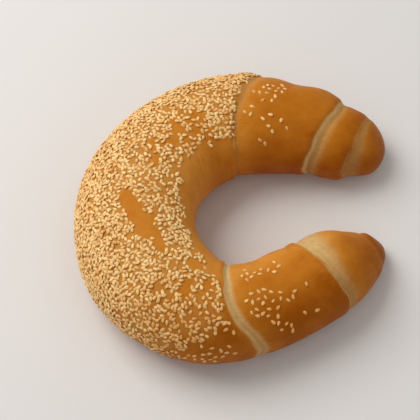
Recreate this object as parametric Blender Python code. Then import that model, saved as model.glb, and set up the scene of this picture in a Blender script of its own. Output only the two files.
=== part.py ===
"""A baked crescent roll with sesame seeds: a wound roll of dough, tapered and bent into an open C.

The dough is one closed body. It starts as a sphere whose poles become the two tips, and every ring
of the sphere is moved to its place along the roll's spine. The rings lie along the edges of the wound
layers, so that each edge is a crisp step. The sesame seeds are half sunk in the crust and fused to it.
"""

import math
import random
from collections import namedtuple

import bmesh
import bpy
import numpy as np
from mathutils import Matrix, Vector
from mathutils.bvhtree import BVHTree

NAME = "crescent_roll"
MM = 0.001

# Driving dimensions, in millimetres and degrees. An angle goes round the roll's section: 0 is the inner
# side, which faces the gap of the C, 90 is the top and 180 the outer side.

# The spine seen from above, from the back tip round the belly to the front tip, as x, y and the roll's
# width there. The rows are evenly spaced along the spine.
STATIONS = (
    (77, 42, 24),
    (52, 43, 40),
    (20, 50, 49),
    (-13, 45, 52),
    (-39, 23, 56),
    (-47, -3, 58),
    (-40, -31, 57),
    (-14, -50, 51),
    (18, -45, 43),
    (48, -27, 40),
    (73, -11, 12),
)
BACK_TIP = 11.0  # length over which each tip rounds off
FRONT_TIP = 8.5
HEIGHT_SHARE = 0.80  # height over width
WIDEST_SHARE = 0.44  # level of the widest line over height
UPPER_POWER = 2.1  # powers of the section's two halves, where 2 is an ellipse
LOWER_POWER = 2.6
FLATTENED = 1.0  # depth that the underside has settled by

# The edges of the wound layers, counted from their own tip. inner, top and outer say where along the
# spine the edge crosses each side, depth how deep the dip past it is and valley how wide it is, both as
# the value on the inner side and the one on the outer side.
Edge = namedtuple("Edge", "inner top outer depth valley")
BACK_EDGES = (
    Edge(19.2, 13.2, 7.0, (1.6, 0.6), (4.5, 2.5)),
    Edge(35.7, 29.7, 22.7, (1.7, 1.6), (4.5, 4.5)),
    Edge(84.0, 76.0, 62.0, (1.2, 1.0), (5.0, 5.0)),
)
FRONT_EDGES = (
    Edge(5.0, 6.0, 8.0, (1.3, 0.7), (2.0, 2.0)),
    Edge(40.3, 38.2, 34.5, (1.8, 0.7), (7.0, 3.0)),
    Edge(83.8, 86.8, 75.8, (1.4, 0.8), (4.0, 4.0)),
)
# Where the hand-rolled dough swells or sinks: place, angle, half length, half angle and height.
SWELLS = (
    (61, 150, 8, 45, -1.4),
    (43, 150, 8, 45, 1.2),
    (35, 325, 8, 50, -1.3),
    (9, 330, 4, 40, -0.5),
    (161, 350, 14, 40, -0.8),
    (133, 160, 12, 40, -0.6),
    (177, 192, 12, 45, 0.6),
    (220, 200, 8, 45, -0.7),
    (257, 20, 6, 40, 0.5),
    (270, 28, 5, 45, -1.1),
    (302, 42, 6, 40, -1.3),
    (311, 60, 4, 80, 2.0),
)
LIP = 1.6  # how far an edge rounds back onto its own layer
SQUARE_FROM = 130.0  # past this distance from either tip the rings stand square to the spine
EDGES_FADE_AT = 0.95  # the edges fade out under the roll, over this sine of the angle and the next
EDGES_FADE_OVER = 0.35

RING_STEP = 8.0
RING_POINTS = 28

SEED_SIZE = (3.2, 2.0, 1.5)
SEED_SUNK = 0.15
SEED_TAPER = 0.30
SEED_SIDES = 6
SEED_TRIES = 6000
RANDOM_SEED = 7

# Where the seeds lie, each as a span along the spine, a span of angle, the least distance between
# two seeds and the most seeds: the whole belly, then a scatter on the next layer of each arm.
SEED_FIELDS = (
    ((80, 225), (46, 190), 6.4, 205),
    ((50, 70), (57, 126), 4.4, 11),
    ((232, 260), (56, 150), 4.4, 14),
)
# Patches of the belly with no seeds, each as its place along the spine, its angle, its half length and
# its half angle.
BARE_PATCHES = (
    (158, 94, 9, 9),
    (170, 86, 9, 12),
    (184, 79, 9, 12),
    (110, 80, 8, 14),
    (98, 92, 5, 9),
    (138, 78, 4, 8),
    (208, 86, 5, 12),
)

CRUST_COLOUR = (0.42, 0.19, 0.05, 1.0)
CRUST_ROUGHNESS = 0.45


def smooth_step(value):
    """0 below 0, 1 above 1 and a smooth rise between."""
    share = np.clip(value, 0.0, 1.0)
    return share * share * (3.0 - 2.0 * share)


def between(pair, angle):
    """A value that goes from the pair's first on the inner side to its second on the outer side."""
    inner_share = (1.0 + np.cos(angle)) / 2.0
    return pair[1] + (pair[0] - pair[1]) * inner_share**1.4


class Spine:
    """A natural cubic curve through the stations, measured by its length from the back tip."""

    def __init__(self, stations):
        self.rows = np.array(stations, dtype=float)
        self.bends = self.solve_bends()
        self.steps = np.linspace(0.0, len(self.rows) - 1.0, 1601)
        runs = np.diff(self.blend(self.steps)[:, :2], axis=0)
        self.lengths = np.concatenate([[0.0], np.cumsum(np.linalg.norm(runs, axis=1))])
        self.length = self.lengths[-1]

    def solve_bends(self):
        """The curve's second derivative at each station, which is zero at both ends."""
        count = len(self.rows)
        matrix = np.eye(count)
        change = np.zeros_like(self.rows)
        for row in range(1, count - 1):
            matrix[row, row - 1 : row + 2] = (1.0, 4.0, 1.0)
            change[row] = 6.0 * (self.rows[row + 1] - 2.0 * self.rows[row] + self.rows[row - 1])
        return np.linalg.solve(matrix, change)

    def blend(self, steps):
        """x, y and width at each step, counted in stations."""
        first, ahead = self.split(steps)
        behind = 1.0 - ahead
        straight = self.rows[first] * behind + self.rows[first + 1] * ahead
        bend = self.bends[first] * (behind**3 - behind) + self.bends[first + 1] * (ahead**3 - ahead)
        return straight + bend / 6.0

    def slope(self, steps):
        """How x, y and width change at each step."""
        first, ahead = self.split(steps)
        behind = 1.0 - ahead
        straight = self.rows[first + 1] - self.rows[first]
        bend = self.bends[first + 1] * (3.0 * ahead**2 - 1.0) - self.bends[first] * (3.0 * behind**2 - 1.0)
        return straight + bend / 6.0

    def split(self, steps):
        """The station before each step, and how far past it the step lies."""
        first = np.clip(steps.astype(int), 0, len(self.rows) - 2)
        return first, (steps - first)[..., None]

    def at(self, along):
        """The point, the inward direction and the width at each length along the spine."""
        steps = np.interp(along, self.lengths, self.steps)
        point = self.blend(steps)
        heading = self.slope(steps)[..., :2]
        heading /= np.linalg.norm(heading, axis=-1, keepdims=True)
        inward = np.stack([-heading[..., 1], heading[..., 0]], axis=-1)
        return point[..., :2], inward, point[..., 2]


class Dough:
    """The roll's surface, as a function of the place along its top line and the angle round it."""

    def __init__(self):
        self.spine = Spine(STATIONS)
        self.length = self.spine.length
        knots = [(0.0, 0.0, 0.0)]
        knots += [(edge.top, edge.inner - edge.top, edge.outer - edge.top) for edge in BACK_EDGES]
        knots += [(SQUARE_FROM, 0.0, 0.0), (self.length - SQUARE_FROM, 0.0, 0.0)]
        for edge in reversed(FRONT_EDGES):
            knots.append((self.length - edge.top, edge.top - edge.inner, edge.top - edge.outer))
        knots.append((self.length, 0.0, 0.0))
        self.knot_places, self.inner_leads, self.outer_leads = np.array(knots).T

    def along(self, place, angle):
        """Length along the spine of a ring that crosses the top line at place, slanted like the edges."""
        inner = np.interp(place, self.knot_places, self.inner_leads)
        outer = np.interp(place, self.knot_places, self.outer_leads)
        side = np.cos(angle)
        lead = (inner - outer) / 2.0 * side + (inner + outer) / 2.0 * side**2
        return np.clip(place + lead, 0.0, self.length)

    def dip(self, place, angle):
        """Depth of the surface below the plain section, at the edges of the layers and the swells."""
        depth = np.zeros(np.broadcast(place, angle).shape)
        for from_tip, edges in ((place, BACK_EDGES), (self.length - place, FRONT_EDGES)):
            for edge in edges:
                past = edge.top - from_tip
                rounded_lip = np.exp(-((np.abs(past) / LIP) ** 1.3))
                slow_rise = np.exp(-np.abs(past) / between(edge.valley, angle))
                depth += between(edge.depth, angle) * np.where(past < 0.0, rounded_lip, slow_rise)
        depth *= smooth_step((np.sin(angle) + EDGES_FADE_AT) / EDGES_FADE_OVER)
        for middle, middle_angle, half_length, half_angle, height in SWELLS:
            round_by = (np.degrees(angle) - middle_angle + 180.0) % 360.0 - 180.0
            away = np.hypot((place - middle) / half_length, round_by / half_angle)
            depth -= height * np.exp(-(away**2))
        return depth

    def taper(self, along):
        """Share of the full section that is left where the tips round off."""
        back = np.clip(along / BACK_TIP, 0.0, 1.0)
        front = np.clip((self.length - along) / FRONT_TIP, 0.0, 1.0)
        return np.sqrt(1.0 - (1.0 - back) ** 2) * np.sqrt(1.0 - (1.0 - front) ** 2)

    def point(self, place, angle):
        """World position of each surface point, in metres."""
        place, angle = np.broadcast_arrays(np.asarray(place, float), np.asarray(angle, float))
        along = self.along(place, angle)
        centre, inward, width = self.spine.at(along)
        height = width * HEIGHT_SHARE
        share = self.taper(along)
        across, upward = np.cos(angle), np.sin(angle)
        power = np.where(upward >= 0.0, UPPER_POWER, LOWER_POWER)
        radius = (np.abs(across) ** power + np.abs(upward) ** power) ** (-1.0 / power)
        lower_half = WIDEST_SHARE * height + FLATTENED
        half_height = np.where(upward >= 0.0, (1.0 - WIDEST_SHARE) * height, lower_half)
        sideways = radius * across * share * width / 2.0
        up = radius * upward * share * half_height
        reach = np.hypot(sideways, up) + 1e-9
        kept = 1.0 - share * np.clip(self.dip(place, angle) / reach, -0.1, 0.4)
        position = np.empty(place.shape + (3,))
        position[..., :2] = centre + inward * (sideways * kept)[..., None]
        position[..., 2] = np.maximum(up * kept + WIDEST_SHARE * height, 0.0)
        return position * MM


def ring_places(dough):
    """Places of the rings along the top line: close together at the tips and edges, even between."""
    fixed = set()
    for step in (1, 2, 3):
        share = 1.0 - math.cos(step * math.pi / 8.0)
        fixed.add(BACK_TIP * share)
        fixed.add(dough.length - FRONT_TIP * share)
    for edges, sign, start in ((BACK_EDGES, 1.0, 0.0), (FRONT_EDGES, -1.0, dough.length)):
        for edge in edges:
            for offset in (LIP * 1.3, 0.0, -0.45 * sum(edge.valley) / 2.0):
                fixed.add(start + sign * (edge.top + offset))
    fixed = sorted(fixed)
    places = []
    for here, ahead in zip(fixed, fixed[1:]):
        count = max(1, math.ceil((ahead - here) / RING_STEP))
        places += [here + (ahead - here) * index / count for index in range(count)]
    return places + [fixed[-1]]


def shape_dough(dough):
    """A sphere with its poles at the two tips, and each ring moved to its place."""
    places = [0.0] + ring_places(dough) + [dough.length]
    last = len(places) - 1
    mesh_maker = bmesh.new()
    bmesh.ops.create_uvsphere(mesh_maker, u_segments=RING_POINTS, v_segments=last, radius=1.0)
    for vertex in mesh_maker.verts:
        ring = round(math.acos(max(-1.0, min(1.0, vertex.co.z))) / math.pi * last)
        angle = math.atan2(vertex.co.y, vertex.co.x)
        vertex.co = Vector(dough.point(places[ring], angle))
    bmesh.ops.triangulate(mesh_maker, faces=mesh_maker.faces)
    bmesh.ops.recalc_face_normals(mesh_maker, faces=mesh_maker.faces)
    return mesh_maker


def is_bare(place, angle):
    """True on a patch of the belly that has no seeds."""
    for middle, middle_angle, half_length, half_angle in BARE_PATCHES:
        if math.hypot((place - middle) / half_length, (angle - middle_angle) / half_angle) < 1.0:
            return True
    return False


def seed_spots(dough, crust, chance):
    """Evenly scattered spots for the seeds, as pairs of a point on the crust and its normal."""
    spots = []
    for span, angles, gap, most in SEED_FIELDS:
        found = []
        for _ in range(SEED_TRIES):
            place = chance.uniform(*span)
            angle = chance.uniform(*angles)
            wish = Vector(dough.point(place, math.radians(angle)))
            if is_bare(place, angle) or len(found) == most:
                continue
            point, normal, _, _ = crust.find_nearest(wish)
            if all((point - other).length > gap * MM for other, _ in found):
                found.append((point, normal))
        spots += found
    return spots


def make_seed(index, point, normal, chance, collection):
    """One seed: a sphere stretched to a drop shape, lying flat on the crust and half sunk in it."""
    maker = bmesh.new()
    bmesh.ops.create_uvsphere(maker, u_segments=SEED_SIDES, v_segments=4, radius=0.5)
    for vertex in maker.verts:
        narrowing = 1.0 - SEED_TAPER * (vertex.co.z + 0.5)
        length, width, thickness = SEED_SIZE
        vertex.co = Vector(
            (vertex.co.z * length, vertex.co.y * width * narrowing, vertex.co.x * thickness * narrowing)
        )
    bmesh.ops.scale(maker, vec=(MM, MM, MM), verts=maker.verts)
    bmesh.ops.recalc_face_normals(maker, faces=maker.faces)
    mesh = bpy.data.meshes.new(f"seed_{index}")
    maker.to_mesh(mesh)
    maker.free()
    seed = bpy.data.objects.new(mesh.name, mesh)
    turn = Matrix.Rotation(chance.uniform(0.0, math.tau), 4, "Z")
    stand = normal.to_track_quat("Z", "X").to_matrix().to_4x4()
    seed.matrix_world = Matrix.Translation(point - normal * SEED_SUNK * MM) @ stand @ turn
    collection.objects.link(seed)


def fuse(body, collection):
    """Joins every object of the collection to the body, as one closed solid."""
    union = body.modifiers.new("seeds", "BOOLEAN")
    union.operation = "UNION"
    union.operand_type = "COLLECTION"
    union.collection = collection
    union.solver = "MANIFOLD"
    bpy.context.view_layer.update()
    fused = bpy.data.meshes.new_from_object(body.evaluated_get(bpy.context.evaluated_depsgraph_get()))
    body.modifiers.remove(union)
    body.data = fused
    for seed in list(collection.objects):
        bpy.data.objects.remove(seed)
    bpy.data.collections.remove(collection)


def crust_material():
    """Golden brown baked crust."""
    material = bpy.data.materials.new("crust")
    material.use_nodes = True
    shader = material.node_tree.nodes["Principled BSDF"]
    shader.inputs["Base Color"].default_value = CRUST_COLOUR
    shader.inputs["Roughness"].default_value = CRUST_ROUGHNESS
    shader.inputs["Metallic"].default_value = 0.0
    material.diffuse_color = CRUST_COLOUR
    return material


def new_collection(name):
    collection = bpy.data.collections.new(name)
    bpy.context.scene.collection.children.link(collection)
    return collection


def make_roll():
    """The dough with its seeds fused on, as one object."""
    chance = random.Random(RANDOM_SEED)
    dough = Dough()
    maker = shape_dough(dough)
    crust = BVHTree.FromBMesh(maker)
    mesh = bpy.data.meshes.new(NAME)
    maker.to_mesh(mesh)
    maker.free()
    roll = bpy.data.objects.new(NAME, mesh)
    new_collection(NAME).objects.link(roll)
    seeds = new_collection("seeds")
    for index, (point, normal) in enumerate(seed_spots(dough, crust, chance)):
        make_seed(index, point, normal, chance, seeds)
    fuse(roll, seeds)
    roll.data.materials.clear()
    roll.data.materials.append(crust_material())
    roll.data.shade_smooth()
    roll.data.set_sharp_from_angle(angle=math.radians(40.0))
    return roll


def main():
    for leftover in list(bpy.data.objects):
        bpy.data.objects.remove(leftover)
    make_roll()


main()
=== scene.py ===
"""Dresses a crescent roll: fine dough with its wound layers, baked crust, sesame seeds and a plain studio.

The roll lies flat, with its open side towards +X. Lengths are in metres, except in the tables of the
roll's shape, which are in millimetres as a baker would measure it.
"""

import math

import bmesh
import bpy
import numpy as np
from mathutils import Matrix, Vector


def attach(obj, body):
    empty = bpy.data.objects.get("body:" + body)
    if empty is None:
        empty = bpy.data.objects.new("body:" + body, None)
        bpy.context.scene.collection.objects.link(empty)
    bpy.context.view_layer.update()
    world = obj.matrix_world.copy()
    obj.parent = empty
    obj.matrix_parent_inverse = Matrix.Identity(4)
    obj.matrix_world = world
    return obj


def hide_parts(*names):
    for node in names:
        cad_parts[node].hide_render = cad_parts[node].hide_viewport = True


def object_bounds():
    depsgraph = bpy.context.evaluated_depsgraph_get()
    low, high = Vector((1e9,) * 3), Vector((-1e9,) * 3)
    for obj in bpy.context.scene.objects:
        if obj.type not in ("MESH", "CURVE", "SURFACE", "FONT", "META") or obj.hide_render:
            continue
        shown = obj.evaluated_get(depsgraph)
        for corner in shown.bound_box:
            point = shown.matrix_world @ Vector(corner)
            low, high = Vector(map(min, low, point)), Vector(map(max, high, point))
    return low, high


bl_info = {
    "name": "Sesame Crescent Roll",
    "version": (1, 0, 0),
    "blender": (4, 5, 0),
    "location": "3D View > Sidebar > Crescent Roll",
    "description": "Builds a baked crescent roll with wound layers and sesame seeds",
    "category": "Add Mesh",
}

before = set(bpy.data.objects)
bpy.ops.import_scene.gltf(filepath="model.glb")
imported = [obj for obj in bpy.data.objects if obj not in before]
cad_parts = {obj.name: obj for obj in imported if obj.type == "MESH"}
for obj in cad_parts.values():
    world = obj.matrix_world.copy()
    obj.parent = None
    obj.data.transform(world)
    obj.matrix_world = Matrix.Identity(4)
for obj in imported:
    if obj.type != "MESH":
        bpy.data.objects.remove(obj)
CAD_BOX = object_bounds()
MM = 0.001

# ---------------------------------------------------------------------------------------------
# The roll's shape. An angle goes round the roll's section: 0 is the inner side, which faces the gap
# of the C, 90 is the top and 180 the outer side. A place is a length along the roll's top line.
# ---------------------------------------------------------------------------------------------

# The spine from the back tip round the belly to the front tip, as x, y and the width there.
STATIONS = (
    (77, 42, 24),
    (52, 43, 40),
    (20, 50, 49),
    (-13, 45, 52),
    (-39, 23, 56),
    (-47, -3, 58),
    (-40, -31, 57),
    (-14, -50, 51),
    (18, -45, 43),
    (48, -27, 40),
    (73, -11, 12),
)
SPINE_STEPS = 1601
# How far from its end each tip starts to round off.
BACK_TIP = 11.0
FRONT_TIP = 8.5
# The section's height as a share of its width, and how far up it is widest, as a share of its height.
HEIGHT_SHARE = 0.80
WIDEST_SHARE = 0.44
# How square the section is above and below its widest line: 2 is an ellipse.
UPPER_POWER = 2.1
LOWER_POWER = 2.6
# How much of the section the baking tray pressed flat.
FLATTENED = 1.0
# This far from either tip and beyond, the rings stand square to the spine.
SQUARE_FROM = 130.0
# How far down the section the edges are gone, and over how much of the way up they come back.
EDGES_FADE_AT = 0.95
EDGES_FADE_OVER = 0.35
# How far a torn edge wavers to either side, slowly and quickly.
SLOW_WAVER = 0.30
QUICK_WAVER = 0.18
# How steeply a lip rounds off, and the swelling behind it: its share of the dip, its place and half width.
LIP_POWER = 1.3
BULGE_SHARE = 0.22
BULGE_AT = -4.0
BULGE_WIDTH = 2.8
# The least and the most of a point's distance from the spine that a dip may take away.
LEAST_DIP = -0.1
MOST_DIP = 0.4
# How late an edge's values turn from the outer side's to the inner side's, where 1 is evenly.
TURN_POWER = 1.4


class Edge:
    """One edge of a wound layer, with its relief and its looks.

    inner, top and outer are the distances from its own tip where it crosses the inner side, the top
    line and the outer side. Each pair holds the value on the inner side and the one on the outer side.
    """

    def __init__(self, crossings, depth, lip, floor, valley, rim, rim_at, pale, start, band, core, fold):
        self.inner, self.top, self.outer = crossings
        self.depth = depth
        self.lip = lip
        self.floor = floor
        self.valley = valley
        self.rim = rim
        self.rim_at, self.rim_width = rim_at
        self.pale = pale
        self.start = start
        self.band = band
        self.core = core
        self.fold_at, self.fold_width = fold


# depth: how deep the dip is; lip: width of the rounded lip before it; floor: half width of its flat floor;
# valley: width of the rise past it; rim and rim_at: how light the line on the lip is, partly pale dough and
# partly painted light, where it lies and its half width; pale, start and band: how pale the uncovered dough
# is, where it starts past the edge and how wide it shows; core and fold: how dull the floor of the fold is,
# with flour and painted shade, where it lies and its half width.
BACK_EDGES = (
    Edge(
        crossings=(19.2, 13.2, 7.0), depth=(1.4, 0.6), lip=1.8, floor=0.8, valley=(4.5, 2.5),
        rim=(0.34, 0.28), rim_at=(-1.5, 0.9), pale=(0.34, 0.28), start=-1.0, band=(4.4, 3.8),
        core=(0.66, 0.58), fold=(0.9, 1.5),
    ),
    Edge(
        crossings=(35.7, 29.7, 22.7), depth=(1.7, 1.5), lip=2.2, floor=0.8, valley=(4.5, 4.5),
        rim=(0.74, 0.70), rim_at=(-1.3, 1.1), pale=(0.42, 0.38), start=-1.0, band=(5.6, 5.0),
        core=(0.80, 0.80), fold=(0.9, 1.1),
    ),
    Edge(
        crossings=(84.0, 76.0, 62.0), depth=(1.2, 1.0), lip=1.7, floor=0.5, valley=(5.0, 5.0),
        rim=(0.10, 0.06), rim_at=(-1.3, 0.6), pale=(0.12, 0.34), start=-1.2, band=(4.0, 5.6),
        core=(0.12, 0.85), fold=(0.4, 1.3),
    ),
)
FRONT_EDGES = (
    Edge(
        crossings=(9.0, 7.5, 7.5), depth=(1.3, 1.0), lip=0.8, floor=0.0, valley=(2.0, 2.0),
        rim=(0.04, 0.06), rim_at=(-1.4, 0.9), pale=(0.0, 0.0), start=0.0, band=(1.5, 1.5),
        core=(0.0, 0.0), fold=(0.2, 0.6),
    ),
    Edge(
        crossings=(40.3, 38.2, 34.5), depth=(1.8, 0.8), lip=1.3, floor=0.2, valley=(7.0, 3.0),
        rim=(0.52, 0.60), rim_at=(-1.0, 0.6), pale=(1.0, 0.36), start=-0.3, band=(13.5, 7.0),
        core=(0.10, 0.55), fold=(1.6, 1.4),
    ),
    Edge(
        crossings=(83.8, 86.8, 75.8), depth=(1.4, 0.9), lip=1.8, floor=0.3, valley=(4.0, 4.0),
        rim=(0.50, 0.62), rim_at=(-1.3, 0.8), pale=(0.90, 0.50), start=-2.0, band=(3.4, 3.2),
        core=(0.06, 0.60), fold=(0.1, 0.65),
    ),
)
# Torn flaps of skin that stand up along an edge: place, angle, half length, half angle and height.
FLAPS = ((77.0, 41.0, 0.65, 9.0, 0.8),)
# Where the hand-rolled dough swells or sinks: place, angle, half length, half angle and height.
SWELLS = (
    (61, 150, 8, 45, -1.4),
    (43, 150, 8, 45, 1.2),
    (35, 325, 8, 50, -1.3),
    (9, 330, 4, 40, -0.5),
    (161, 350, 14, 40, -0.8),
    (133, 160, 12, 40, -0.6),
    (177, 192, 12, 45, 0.6),
    (220, 200, 8, 45, -0.7),
    (257, 20, 6, 40, 0.5),
    (270, 28, 5, 45, -1.1),
    (302, 42, 6, 40, -1.3),
    (311, 60, 4, 80, 2.0),
)

# The fine dough: the spacing of its rings, the points on each and the shuffle of its faces.
RINGS_APART = 0.75
RING_POINTS = 150
FACE_SHUFFLE = 8
# The masks that the dough carries, each of which is a function of Dough.
MASKS = ("pale", "core", "stretch", "fibre", "bake", "sole", "sesame", "topping", "stray")
# Radius of the straight rod that the surface is unrolled to.
ROD_RADIUS = 22.0
# Sizes of the soft dents and the fine ripples, in metres, and the heights over which they start.
DENT_SIZE = 0.028
RIPPLE_SIZE = 0.006
LEVEL_BELOW = 0.001
WAVY_ABOVE = 0.008

# ---------------------------------------------------------------------------------------------
# Where the sesame lies
# ---------------------------------------------------------------------------------------------

# The inner edge of the seeded belly, as pairs of a place and an angle.
SEED_INNER_EDGE = (
    (76, 48), (87, 49), (102, 53), (112, 53), (124, 49), (135, 43), (150, 42), (161, 33), (172, 37),
    (184, 37), (197, 43), (206, 48), (218, 60), (226, 72),
)
# The outer edge of the seeds, where they start to thin out.
SEED_OUTER_EDGE = (
    (76, 194), (160, 196), (178, 194), (190, 186), (199, 170), (207, 152), (214, 132), (226, 102),
)
# Above this line the seeds lie in a full coat, and below it more thinly.
FULL_COAT_EDGE = (
    (76, 58), (90, 64), (96, 98), (112, 104), (128, 96), (140, 80), (152, 62), (168, 56), (182, 58),
    (190, 78), (196, 116), (202, 150), (209, 180), (226, 200),
)
# How closely they lie below it, as pairs of a place and a share of the full coat.
THIN_COAT = (
    (76, 0.74), (90, 0.70), (100, 0.62), (112, 0.66), (130, 0.72), (145, 0.84), (190, 0.82), (226, 0.70),
)
# Above this line a second layer of seeds lies on the first.
TOPPING_EDGE = (
    (76, 96), (95, 112), (120, 112), (140, 98), (155, 104), (168, 104), (180, 106), (187, 130), (194, 200),
)
# Over how many degrees these lines are soft.
FULL_COAT_SOFTNESS = 10.0
TOPPING_SOFTNESS = 20.0
INNER_SOFTNESS = 18.0
OUTER_SOFTNESS = 28.0
# Bare patches, each as its place, its angle, its half length and its half angle.
BARE_PATCHES = (
    (157, 96, 6, 7),
    (163, 90, 6, 8),
    (171, 84, 8, 9),
    (179, 79, 7, 6),
    (186, 79, 3, 3),
    (168, 74, 3, 4),
    (110, 88, 2.5, 8),
    (99, 90, 2, 4),
    (103, 74, 4, 4),
    (133, 79, 2, 4),
    (118, 80, 2, 4),
    (207, 93, 3, 10),
    (206, 66, 5, 5),
    (217, 84, 2, 8),
)
# Scatters of single seeds beyond the coat, as place, angle, half length, half angle and fullness.
SPARSE_PATCHES = (
    (63, 106, 8, 17, 1.0),
    (58, 64, 12, 12, 0.70),
    (69, 80, 5, 12, 0.60),
    (57, 44, 5, 5, 0.80),
    (240, 62, 7, 11, 1.0),
    (252, 66, 8, 11, 0.85),
    (240, 106, 9, 24, 0.90),
    (250, 104, 7, 16, 0.75),
    (262, 110, 3, 6, 0.70),
    (255, 136, 5, 8, 0.75),
    (240, 142, 5, 18, 0.70),
    (200, 168, 9, 26, 1.0),
    (211, 158, 7, 28, 0.95),
    (220, 138, 6, 30, 0.60),
    (175, 80, 5, 5, 0.50),
    (88, 213, 14, 13, 0.60),
    (112, 216, 14, 13, 0.45),
    (136, 214, 14, 13, 0.60),
    (160, 214, 14, 13, 0.50),
    (180, 204, 12, 14, 0.80),
)
# How far over the crust the lowest and highest seeds of each layer lie, in metres. Below 0 is sunk in it.
SUNK = -0.00012
HIGH_IN_BED = 0.0004
LOW_IN_TOPPING = 0.0002
HIGH_IN_TOPPING = 0.0007
HIGH_AMONG_STRAYS = 0.0002
# What the other two layers change: how much more they lean, their clumping and toasting, and what they
# add to the random seed.
TOPPING_TILT = 1.3
TOPPING_SEED = 1
STRAY_CLUMPING = 0.35
STRAY_TOASTING = 0.14
STRAY_SEED = 7
# Places to try for seeds, per square metre, before the spacing thins them out.
MOST_SEEDS = 1.2e6
# The scatter's random draws, each with a number of its own.
NOD_DRAW, ROLL_DRAW, HEADING_DRAW, SIZE_DRAW, LIFT_DRAW, TOAST_DRAW = range(11, 17)

# ---------------------------------------------------------------------------------------------
# The stage, in metres
# ---------------------------------------------------------------------------------------------

FLOOR_REACH = 3.0
SKY_COLOUR = (1.0, 0.99, 0.97, 1.0)
# Each light's place, size and colour.
KEY_LOOK = ((-0.55, 0.35, 0.80), 0.7, (1.0, 0.98, 0.95))
FILL_LOOK = ((0.5, -0.6, 0.45), 0.6, (1.0, 0.97, 0.94))
CAMERA_TARGET = (-0.01165, 0.00123, 0.0199)
SENSOR_WIDTH = 36.0
NEAREST_SEEN = 0.01


def smooth_step(value):
    """0 below 0, 1 above 1 and a smooth rise between."""
    share = np.clip(value, 0.0, 1.0)
    return share * share * (3.0 - 2.0 * share)


def hump(value, middle, half_width):
    """A soft hump: 1 at its middle, and about a third at its half width."""
    return np.exp(-(((value - middle) / half_width) ** 2))


def between(pair, angle):
    """A value that goes from the pair's first on the inner side to its second on the outer side."""
    inner_share = (1.0 + np.cos(angle)) / 2.0
    return pair[1] + (pair[0] - pair[1]) * inner_share**TURN_POWER


def round_in_degrees(angle):
    """The angle in degrees, from 0 to 360."""
    return np.degrees(angle) % 360.0


def line_at(pairs, place):
    """The second number of the pairs at each place, which the first gives."""
    return np.interp(place, *np.array(pairs, dtype=float).T)


class Spine:
    """A natural cubic curve through the stations, measured by its length from the back tip."""

    def __init__(self, stations):
        self.rows = np.array(stations, dtype=float)
        self.bends = self.solve_bends()
        self.steps = np.linspace(0.0, len(self.rows) - 1.0, SPINE_STEPS)
        runs = np.diff(self.blend(self.steps)[:, :2], axis=0)
        self.lengths = np.concatenate([[0.0], np.cumsum(np.linalg.norm(runs, axis=1))])
        self.length = self.lengths[-1]

    def solve_bends(self):
        """The curve's second derivative at each station, which is zero at both ends."""
        count = len(self.rows)
        matrix = np.eye(count)
        change = np.zeros_like(self.rows)
        for row in range(1, count - 1):
            matrix[row, row - 1 : row + 2] = (1.0, 4.0, 1.0)
            change[row] = 6.0 * (self.rows[row + 1] - 2.0 * self.rows[row] + self.rows[row - 1])
        return np.linalg.solve(matrix, change)

    def split(self, steps):
        """The station before each step, and how far past it the step lies."""
        first = np.clip(steps.astype(int), 0, len(self.rows) - 2)
        return first, (steps - first)[..., None]

    def blend(self, steps):
        """x, y and width at each step, counted in stations."""
        first, ahead = self.split(steps)
        behind = 1.0 - ahead
        straight = self.rows[first] * behind + self.rows[first + 1] * ahead
        bend = self.bends[first] * (behind**3 - behind) + self.bends[first + 1] * (ahead**3 - ahead)
        return straight + bend / 6.0

    def slope(self, steps):
        """How x, y and width change at each step."""
        first, ahead = self.split(steps)
        behind = 1.0 - ahead
        straight = self.rows[first + 1] - self.rows[first]
        bend = self.bends[first + 1] * (3.0 * ahead**2 - 1.0) - self.bends[first] * (3.0 * behind**2 - 1.0)
        return straight + bend / 6.0

    def at(self, along):
        """The point, the inward direction and the width at each length along the spine."""
        steps = np.interp(along, self.lengths, self.steps)
        point = self.blend(steps)
        heading = self.slope(steps)[..., :2]
        heading /= np.linalg.norm(heading, axis=-1, keepdims=True)
        inward = np.stack([-heading[..., 1], heading[..., 0]], axis=-1)
        return point[..., :2], inward, point[..., 2]


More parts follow.
